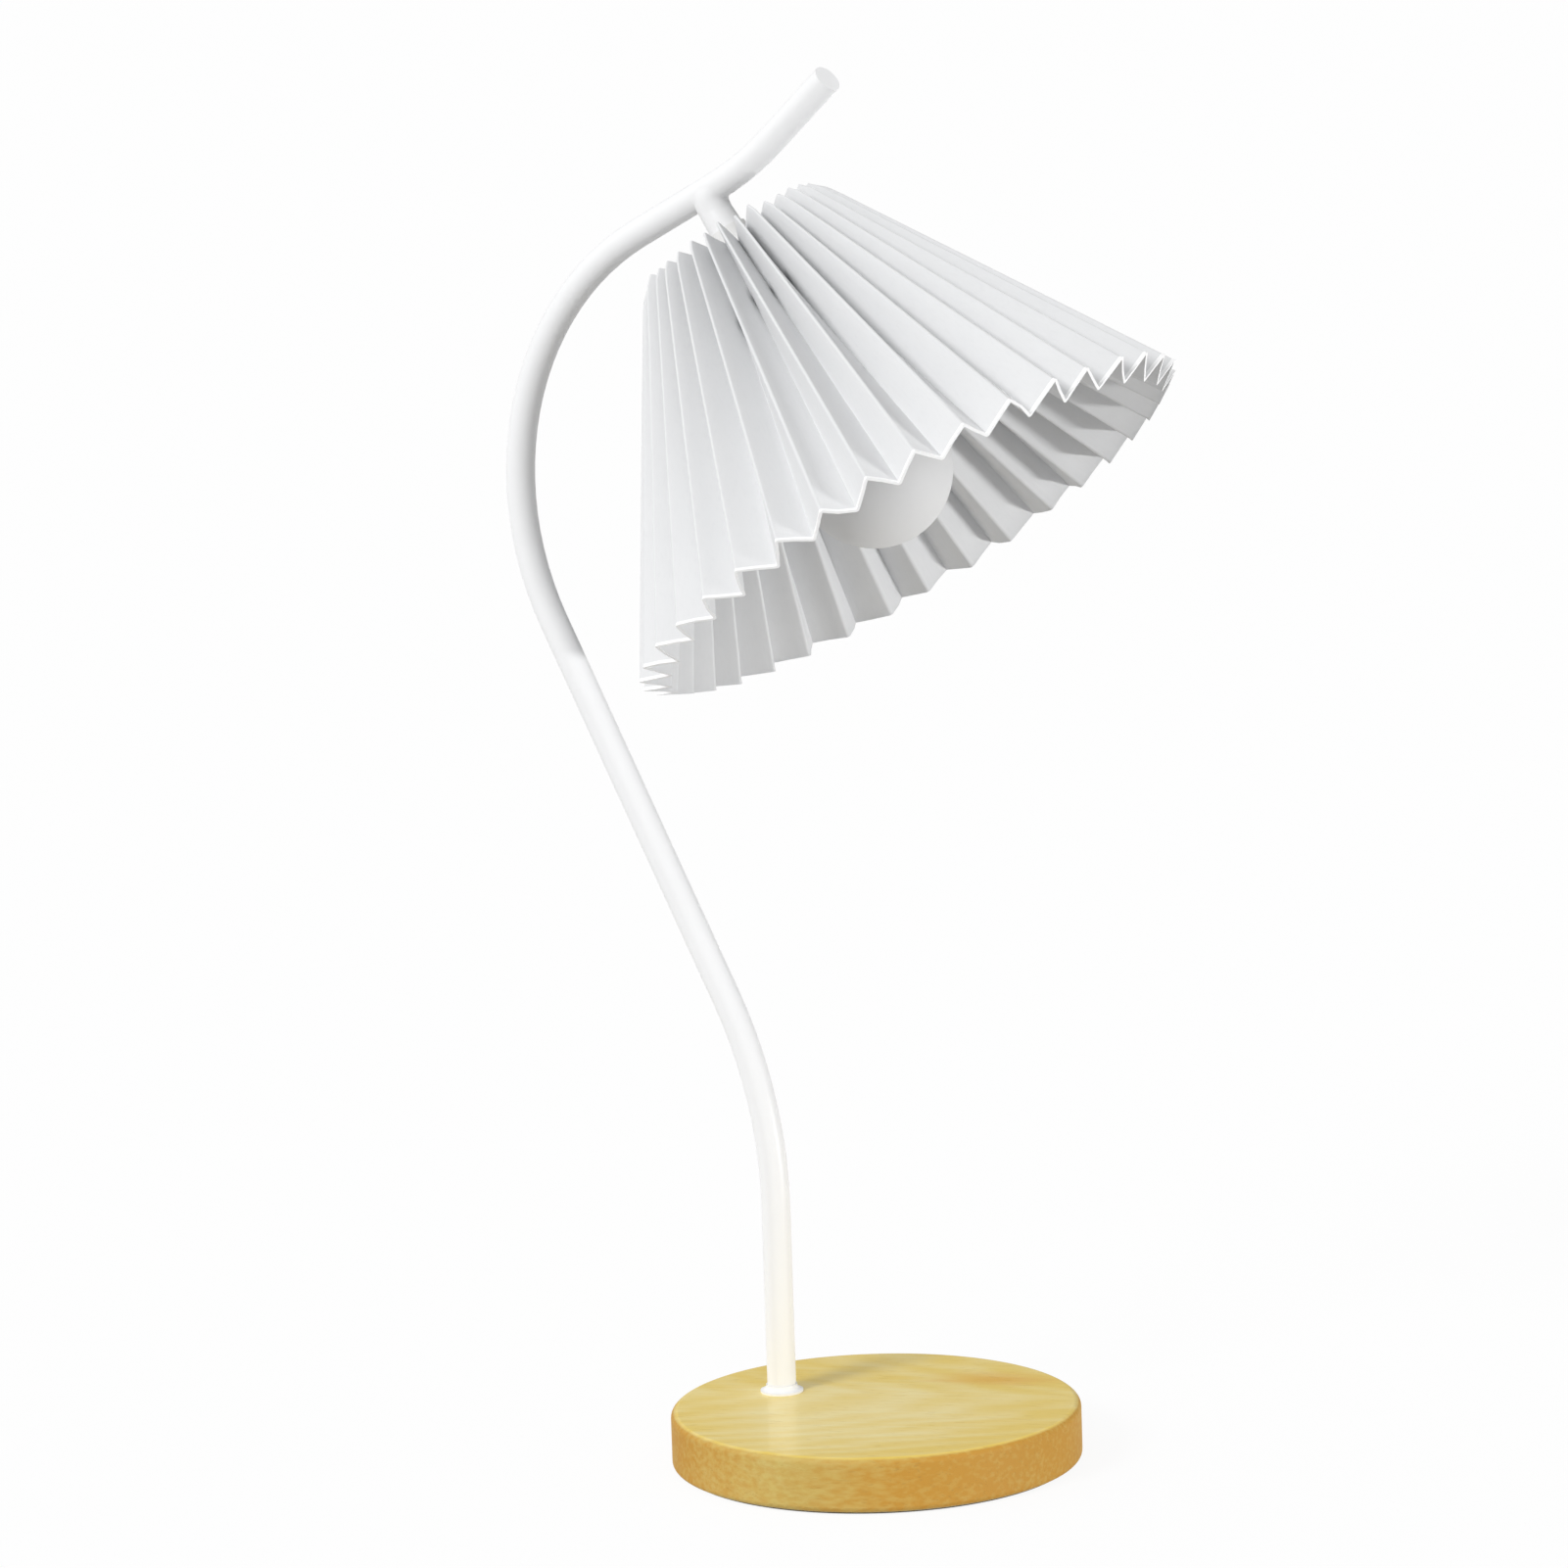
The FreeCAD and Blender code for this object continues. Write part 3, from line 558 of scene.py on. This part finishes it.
def fold_depth(radius, cone_cosine):
    """How far a valley lies in from the ridge, so that every panel keeps its width."""
    spread = 1 - math.cos(math.pi / PLEATS)
    lean = radius * cone_cosine * spread
    return lean + np.sqrt(lean * lean + PANEL_WIDTH * PANEL_WIDTH - 2 * radius * radius * spread)


def row_shares():
    """Rows from the top of the strip to its rim, with the last two close together in the cut edge."""
    return np.append(np.linspace(0.0, 1 - EDGE_SHARE, FOLD_ROWS - EDGE_ROWS), (1 - EDGE_SHARE / 2, 1.0))


def fold_lines():
    """Every fold's line from top to rim, slightly uneven, with a shoulder at the top: (rows, folds, 3)."""
    draw = np.random.default_rng(FOLD_SEED)
    count = 2 * PLEATS
    share = row_shares()[:, None]
    valley = np.arange(count) % 2
    cone_cosine = (RIM_RIDGE_STATION - TOP_RIDGE_STATION) / STRIP_WIDTH
    cone_sine = (RIM_RIDGE_RADIUS - TOP_RIDGE_RADIUS) / STRIP_WIDTH
    ridge_radius = TOP_RIDGE_RADIUS + (RIM_RIDGE_RADIUS - TOP_RIDGE_RADIUS) * share
    station = TOP_RIDGE_STATION + (RIM_RIDGE_STATION - TOP_RIDGE_STATION) * share
    unevenness = draw.normal(0.0, DEPTH_SPREAD, count)
    shoulder = SHOULDER_DEPTH * np.clip(1 - share * STRIP_WIDTH / SHOULDER_LENGTH, 0.0, None) ** 2
    inward = fold_depth(ridge_radius, cone_cosine) * valley + shoulder * (1 - valley) + unevenness * share
    trim = draw.normal(0.0, TRIM_SPREAD_TOP, count) * (1 - share) ** TRIM_FADE_TOP
    trim = trim + draw.normal(0.0, TRIM_SPREAD_RIM, count) * share ** TRIM_FADE_RIM
    turn = draw.normal(0.0, TURN_SPREAD_TOP, count) * (1 - share) ** TURN_FADE_TOP
    turn = turn + draw.normal(0.0, TURN_SPREAD_RIM, count) * share
    angle = np.radians(FIRST_RIDGE + turn) + np.arange(count) * math.pi / PLEATS
    radius = ridge_radius - inward * cone_cosine
    along = station + inward * cone_sine + trim
    origin, across, sideways, axis = hanger_frame()
    ring = np.cos(angle)[..., None] * across + np.sin(angle)[..., None] * sideways
    return origin + radius[..., None] * ring + along[..., None] * axis


def pleat_surface():
    """The sheet's middle surface with rounded folds, each column's place on the strip and its crease."""
    corner = fold_lines()
    draw = np.random.default_rng(FOLD_SEED + 1)
    share = row_shares()[:, None, None]
    reach = FOLD_REACH_TOP + (FOLD_REACH_RIM - FOLD_REACH_TOP) * share
    back = unit(np.roll(corner, 1, axis=1) - corner)
    ahead = unit(np.roll(corner, -1, axis=1) - corner)
    half_sine = np.linalg.norm(back - ahead, axis=-1, keepdims=True) / 2
    half_cosine = np.sqrt(1 - half_sine ** 2)
    lost = reach * (1 - half_sine) / half_cosine
    corner = corner - unit(back + ahead) * lost * FOLD_FULLNESS
    back = unit(np.roll(corner, 1, axis=1) - corner)
    ahead = unit(np.roll(corner, -1, axis=1) - corner)
    start = corner + back * reach
    end = corner + ahead * reach
    columns = []
    for step in FOLD_STEPS:
        first = (1 - step) ** 2
        middle = 2 * step * (1 - step) * half_sine
        last = step ** 2
        columns.append((first * start + middle * corner + last * end) / (first + middle + last))
    bow = draw.normal(0.0, BOW_SPREAD, (1, 2 * PLEATS, 1)) * (BOW_AT_TOP + (1 - BOW_AT_TOP) * share)
    face = unit(np.cross(ahead, np.gradient(corner, axis=0)))
    next_start = np.roll(start, -1, axis=1)
    for step in PANEL_STEPS:
        swell = bow * math.sin(math.pi * step) ** 2
        columns.append(end + (next_start - end) * step + face * swell)
    surface = np.stack(columns, axis=2).reshape(FOLD_ROWS, -1, 3)
    reach_share = FOLD_REACH_RIM / PANEL_WIDTH
    on_fold = [(step - 0.5) * 2 * reach_share for step in FOLD_STEPS]
    on_panel = [reach_share + (1 - 2 * reach_share) * step for step in PANEL_STEPS]
    strip = np.arange(2 * PLEATS)[:, None] + np.array(on_fold + on_panel)
    crease = [1 - abs(2 * step - 1) for step in FOLD_STEPS] + [0.0] * len(PANEL_STEPS)
    return surface, strip.ravel() * PANEL_WIDTH, np.array(crease)


def pleated_shade():
    """The shade's sheet as a closed mesh: outside, inside and the two cut edges."""
    surface, strip, crease = pleat_surface()
    rows, columns = surface.shape[:2]
    down = np.gradient(surface, axis=0)
    round_way = np.roll(surface, -1, axis=1) - np.roll(surface, 1, axis=1)
    normal = unit(np.cross(round_way, down))
    edge = np.clip(1 - (1 - row_shares()) / EDGE_SHARE, 0.0, 1.0)[:, None, None]
    half_sheet = (SHEET_THICKNESS + (EDGE_THICKNESS - SHEET_THICKNESS) * edge) / 2
    mesh = closed_skin("pleated_shade", surface + normal * half_sheet, surface - normal * half_sheet)
    mesh.materials.append(pleat_sheet())
    mesh.materials.append(cut_edge_and_lip_highlight())
    # Painted highlight: the outside's last rows next to the rim take the bright cut-edge finish, as the cut
    # edges do
    wall = (rows - 1) * columns
    highlight_lip = EDGE_ROWS * columns
    edge_and_highlight_faces = np.repeat([0, 1, 0, 1], [wall - highlight_lip, highlight_lip, wall, 2 * columns])
    mesh.polygons.foreach_set("material_index", edge_and_highlight_faces.astype(np.int32))
    corner_vertex = np.zeros(len(mesh.loops), np.int32)
    mesh.loops.foreach_get("vertex_index", corner_vertex)
    row, column = np.divmod(corner_vertex % (rows * columns), columns)
    flat = np.stack([strip[column], row_shares()[row] * STRIP_WIDTH], axis=-1)
    mesh.uv_layers.new(name="strip").data.foreach_set("uv", flat.astype(np.float32).ravel())
    # Painted shade mask: the hollow of every fold, at the valleys outside and at the ridges inside
    valleys = np.concatenate([crease * 0, crease])
    ridges = np.concatenate([crease, crease * 0])
    hollow = np.concatenate([np.tile(valleys, rows * PLEATS), np.tile(ridges, rows * PLEATS)])
    mesh.attributes.new("hollow", "FLOAT", "POINT").data.foreach_set("value", hollow.astype(np.float32))
    mesh.update()
    shade = put_in_scene("pleated_shade", mesh)
    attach(shade, "shade")
    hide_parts("shade_pleats")


def weld_skirt():
    """The smooth weld that draws the stub's wall up onto the stem's tube, as a closed skirt."""
    origin, _, sideways, along = hanger_frame()
    heading = math.radians(STEM_HEADING)
    ahead = np.array((math.sin(heading), 0.0, math.cos(heading)))
    below = unit(along - ahead * (along @ ahead))
    lengthwise = unit(ahead - along * (along @ ahead))
    turn = np.arange(WELD_COLUMNS)[:, None] * math.tau / WELD_COLUMNS
    tipward = np.cos(turn)
    aside = np.sin(turn)
    outward = tipward * lengthwise + aside * sideways
    low = WELD_LOW + WELD_LOW_SWAY * tipward
    wall = STUB_RADIUS + STUB_TAPER * (low - STUB_STATION)
    start = origin + along * low + outward * (wall - WELD_SINK)
    wrap = math.radians(WELD_WRAP) * aside
    on_tube = np.cos(wrap) * below + np.sin(wrap) * sideways
    onward = unit(tipward * ahead + aside * (np.cos(wrap) * sideways - np.sin(wrap) * below))
    reach = WELD_ON_STEM_SWAY + WELD_ON_STEM * tipward
    end = origin + ahead * reach + on_tube * (TUBE_RADIUS - WELD_SINK)
    rise = (WELD_RISE + WELD_SIDE_EXTRA * aside ** 2) * low / WELD_LOW
    leave = start - along * rise + outward * 2 * WELD_SINK
    arrive = end - onward * (WELD_RUN + WELD_SIDE_EXTRA * aside ** 2)
    share = np.linspace(0.0, 1.0, WELD_ROWS)[:, None, None]
    rest = 1 - share
    skin = rest ** 3 * start + 3 * rest ** 2 * share * leave
    skin = skin + 3 * rest * share ** 2 * arrive + share ** 3 * end
    mesh = closed_skin("weld_skirt", skin, origin + (skin - origin) * WELD_CORE)
    mesh.materials.append(frame["nodes"]["branch_stub"].material_slots[0].material)
    skirt = put_in_scene("weld_skirt", mesh)
    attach(skirt, "stand")


def studio_floor():
    """A wide pale floor under the base, white to the eye and greyer in the light that it throws back."""
    mesh = bpy.data.meshes.new("studio_floor")
    ground = cad_box[0].z
    corners = [(-1, -1), (1, -1), (1, 1), (-1, 1)]
    mesh.from_pydata([(x * FLOOR_HALF, y * FLOOR_HALF, ground) for x, y in corners], [], [range(4)])
    material = bpy.data.materials.new("studio_floor")
    material.use_nodes = True
    tree = material.node_tree
    tree.nodes.remove(tree.nodes["Principled BSDF"])
    pot = Wire(tree)
    ray = pot.add("LightPath", output="Is Camera Ray")
    seen = pot.math("MAXIMUM", ray, ray.other("Is Glossy Ray"))
    seen = pot.math("MAXIMUM", seen, ray.other("Is Transmission Ray"))
    colour = pot.mix(seen, paint(*FLOOR_BOUNCE), paint(*FLOOR_SEEN))
    matt = pot.add("BsdfDiffuse", None, {"Color": colour})
    white = pot.add("Emission", None, {"Color": paint(1.0, 1.0, 1.0), "Strength": 1.0})
    look = pot.add("MixShader", None, {0: seen * FLOOR_WHITENESS, 1: matt, 2: white})
    look.to(tree.nodes["Material Output"], "Surface")
    mesh.materials.append(material)
    floor = put_in_scene("studio_floor", mesh)


def sky_way(heading, height):
    """Unit vector towards a point of the room: degrees left of the camera's side, and above the floor."""
    turn = math.radians(VIEW_AZIMUTH - heading)
    rise = math.radians(height)
    level = math.cos(rise)
    return Vector((math.sin(turn) * level, -math.cos(turn) * level, math.sin(rise)))


def studio_room():
    """The room's even light: pale overhead and on the left, greyer towards its other walls."""
    world = bpy.data.worlds.new("studio_room")
    bpy.context.scene.world = world
    world.use_nodes = True
    pot = Wire(world.node_tree)
    way = pot.add("TexCoord", output="Generated")
    window_way = sky_way(WINDOW_HEADING, WINDOW_HEIGHT)
    window = pot.add("VectorMath", {"operation": "DOT_PRODUCT"}, {0: way, 1: window_way}, "Value")
    room = pot.mix(window.between(*WINDOW_FADE), paint(*ROOM_LOW), paint(*ROOM_HIGH))
    room.to(world.node_tree.nodes["Background"], "Color")


def point_lamp(lamp, way):
    """Stands a lamp in the room, with its light coming from the given way."""
    stand = put_in_scene(lamp.name, lamp)
    stand.rotation_mode = "QUATERNION"
    stand.rotation_quaternion = way.to_track_quat("Z", "Y")
    return stand


def key_lamp():
    """A large soft lamp far off in front, on the left."""
    lamp = bpy.data.lights.new("key_lamp", "SUN")
    lamp.energy = KEY_STRENGTH
    lamp.angle = math.radians(KEY_SOFTNESS)
    point_lamp(lamp, sky_way(KEY_HEADING, KEY_HEIGHT))


def low_lamp():
    """A lamp low on the right, which shines up into the open side of the shade."""
    lamp = bpy.data.lights.new("low_lamp", "AREA")
    lamp.shape = "RECTANGLE"
    lamp.size, lamp.size_y = LOW_LAMP_SIZE
    lamp.energy = LOW_LAMP_POWER
    stand = point_lamp(lamp, Vector(LOW_LAMP_PLACE) - Vector(LOW_LAMP_AIM))
    stand.location = LOW_LAMP_PLACE


def photo_camera():
    """The camera at the photograph's place, rolled as it was."""
    back = sky_way(0.0, VIEW_ELEVATION)
    lens = bpy.data.cameras.new("photo_camera")
    lens.lens = LENS_MM
    lens.sensor_width = SENSOR_MM
    lens.clip_end = VIEW_REACH
    camera = put_in_scene("photo_camera", lens)
    camera.location = Vector(AIM_POINT) + back * VIEW_DISTANCE
    camera.rotation_mode = "QUATERNION"
    roll = Quaternion((0.0, 0.0, 1.0), math.radians(VIEW_ROLL))
    camera.rotation_quaternion = (-back).to_track_quat("-Z", "Y") @ roll
    bpy.context.scene.camera = camera


bpy.context.scene.view_settings.view_transform = "Standard"
photo_camera()
dress_nodes()
pleated_shade()
weld_skirt()
studio_floor()
studio_room()
key_lamp()
low_lamp()
